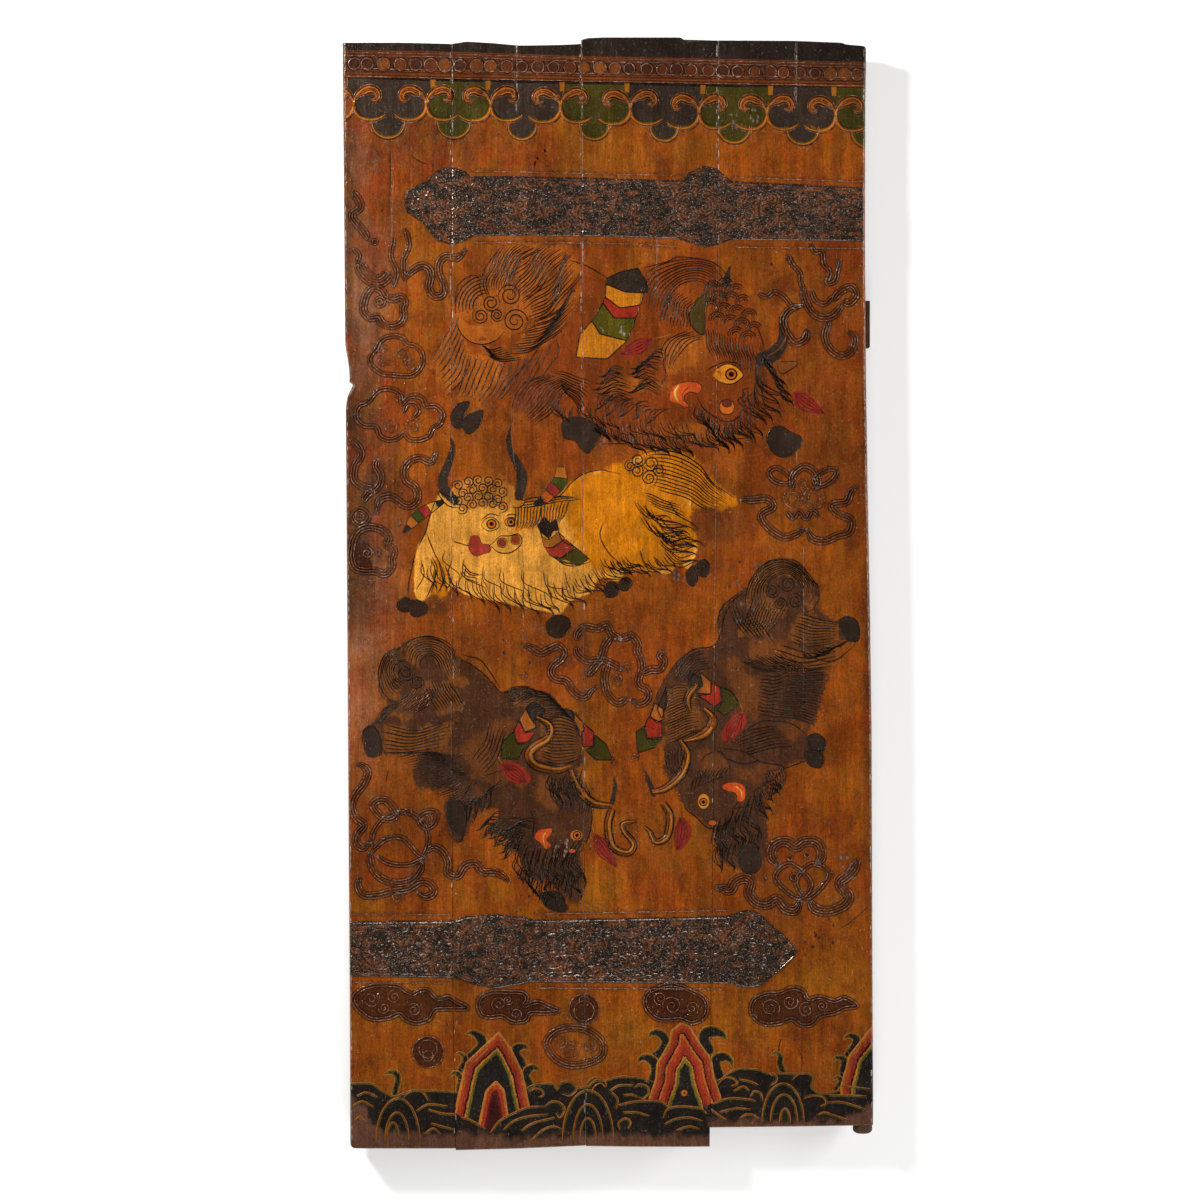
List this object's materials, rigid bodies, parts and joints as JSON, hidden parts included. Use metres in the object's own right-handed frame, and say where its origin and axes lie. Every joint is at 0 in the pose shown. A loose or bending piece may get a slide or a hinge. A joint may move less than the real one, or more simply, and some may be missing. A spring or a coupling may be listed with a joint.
{
  "type": "painted wooden door leaf",
  "caption": "Tall door leaf of upright boards on dovetailed back battens, with a turned pivot pin at one lower corner and a painted face with raised ornament.",
  "frame": {"origin": "on the plane that the battens lie on, under the middle of the leaf", "axes": "+X across the leaf from the latch edge to the hinge edge, +Y from the foot to the head, +Z out of the painted face"},
  "size_m": [0.9139, 1.915, 0.056],
  "materials": {
    "painted_wood": "old paint and raised gesso under a darkened varnish, semi-gloss and worn",
    "bare_wood": "unpainted old softwood, darkened and matt"
  },
  "bodies": {
    "root": {"plank_latch_side": "painted_wood", "plank_middle_left": "painted_wood", "plank_middle_right": "painted_wood", "plank_hinge_side": "painted_wood", "batten_upper": "bare_wood", "batten_lower": "bare_wood"}
  },
  "joints": []
}
